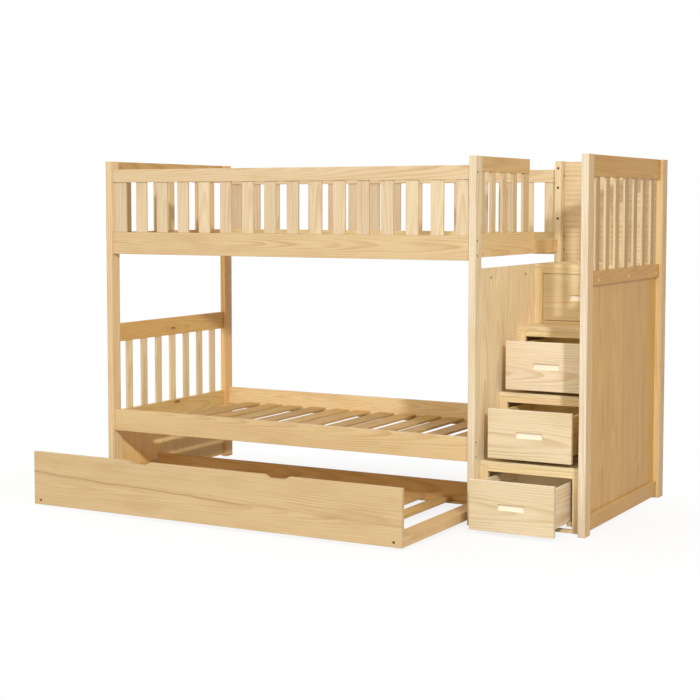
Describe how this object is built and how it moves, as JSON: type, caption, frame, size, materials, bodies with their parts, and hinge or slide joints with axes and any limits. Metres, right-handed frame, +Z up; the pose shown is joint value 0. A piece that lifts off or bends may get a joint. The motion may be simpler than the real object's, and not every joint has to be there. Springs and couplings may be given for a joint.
{
  "type": "bunk bed with storage stairs",
  "caption": "Pine bunk bed, one deck above the other, with slatted guards, a boxed stair whose steps are drawers, and a rolling trundle below.",
  "frame": {"origin": "bottom centre of the bounding box as stored, with the trundle and three drawers open", "axes": "+X along the bed towards the stair, +Y from the front to the back, +Z up"},
  "size_m": [2.5086, 1.694, 1.615],
  "materials": {
    "frame_wood": "satin clear coat on pale pine",
    "panel_wood": "satin clear coat on pale pine panel",
    "slat_wood": "smooth planed pine",
    "drawer_wood": "smooth paler pine",
    "cap_wood": "pale screw caps",
    "bolt_steel": "dark plated steel",
    "wheel_plastic": "moulded"
  },
  "bodies": {
    "frame": {"post_left_front": "frame_wood", "post_left_rear": "frame_wood", "post_middle_front": "frame_wood", "post_middle_rear": "frame_wood", "post_right_front": "frame_wood", "post_right_rear": "frame_wood", "left_top_rail": "frame_wood", "left_upper_slats": "frame_wood", "left_upper_rail": "frame_wood", "left_head_rail": "frame_wood", "left_lower_slats": "frame_wood", "left_deck_rail": "frame_wood", "left_base_panel": "panel_wood", "left_base_rail": "frame_wood", "side_rail_front_lower": "frame_wood", "side_rail_front_upper": "frame_wood", "guard_front_top_rail": "frame_wood", "guard_front_slats": "frame_wood", "side_rail_rear_lower": "frame_wood", "side_rail_rear_upper": "frame_wood", "guard_rear_top_rail": "frame_wood", "guard_rear_slats": "frame_wood", "slat_ledgers": "slat_wood", "bed_slats_lower": "slat_wood", "bed_slats_upper": "slat_wood", "middle_guard_top_rail": "frame_wood", "middle_guard_slats": "frame_wood", "middle_guard_lower_rail": "frame_wood", "middle_panel": "panel_wood", "right_top_rail": "frame_wood", "right_slats": "frame_wood", "right_middle_rail": "frame_wood", "right_panel": "panel_wood", "right_bottom_rail": "frame_wood", "stair_frames": "frame_wood", "stair_treads": "frame_wood", "stair_landing": "frame_wood", "drawer_runners": "slat_wood", "stair_back_panel": "panel_wood", "rear_guard_board": "frame_wood", "screw_caps": "cap_wood", "frame_bolts": "bolt_steel"},
    "trundle": {"trundle_front": "frame_wood", "trundle_rear": "frame_wood", "trundle_end_rails": "frame_wood", "trundle_ledgers": "slat_wood", "trundle_slats": "slat_wood", "trundle_fittings": "bolt_steel"},
    "wheel_1": {"wheel_1": "wheel_plastic"},
    "wheel_2": {"wheel_2": "wheel_plastic"},
    "wheel_3": {"wheel_3": "wheel_plastic"},
    "wheel_4": {"wheel_4": "wheel_plastic"},
    "drawer_1": {"drawer_1_front": "frame_wood", "drawer_1_box": "drawer_wood"},
    "drawer_2": {"drawer_2_front": "frame_wood", "drawer_2_box": "drawer_wood"},
    "drawer_3": {"drawer_3_front": "frame_wood", "drawer_3_box": "drawer_wood"},
    "drawer_4": {"drawer_4_front": "frame_wood", "drawer_4_box": "drawer_wood"}
  },
  "joints": [
    {"name": "trundle_slide", "type": "slide", "parent": "frame", "child": "trundle", "axis": [0, -1, 0], "range_m": [-0.6215, 0.36]},
    {"name": "wheel_1_spin", "type": "hinge", "parent": "trundle", "child": "wheel_1", "pos_m": [-1.123, -0.769, 0.022], "axis": [1, 0, 0], "continuous": true},
    {"name": "wheel_2_spin", "type": "hinge", "parent": "trundle", "child": "wheel_2", "pos_m": [0.612, -0.769, 0.022], "axis": [1, 0, 0], "continuous": true},
    {"name": "wheel_3_spin", "type": "hinge", "parent": "trundle", "child": "wheel_3", "pos_m": [-1.123, 0.065, 0.022], "axis": [1, 0, 0], "continuous": true},
    {"name": "wheel_4_spin", "type": "hinge", "parent": "trundle", "child": "wheel_4", "pos_m": [0.612, 0.065, 0.022], "axis": [1, 0, 0], "continuous": true},
    {"name": "drawer_1_slide", "type": "slide", "parent": "frame", "child": "drawer_1", "axis": [0, -1, 0], "range_m": [-0.207, 0.15]},
    {"name": "drawer_2_slide", "type": "slide", "parent": "frame", "child": "drawer_2", "axis": [0, -1, 0], "range_m": [-0.22, 0.14]},
    {"name": "drawer_3_slide", "type": "slide", "parent": "frame", "child": "drawer_3", "axis": [0, -1, 0], "range_m": [-0.235, 0.125]},
    {"name": "drawer_4_slide", "type": "slide", "parent": "frame", "child": "drawer_4", "axis": [0, -1, 0], "range_m": [0, 0.235]}
  ]
}
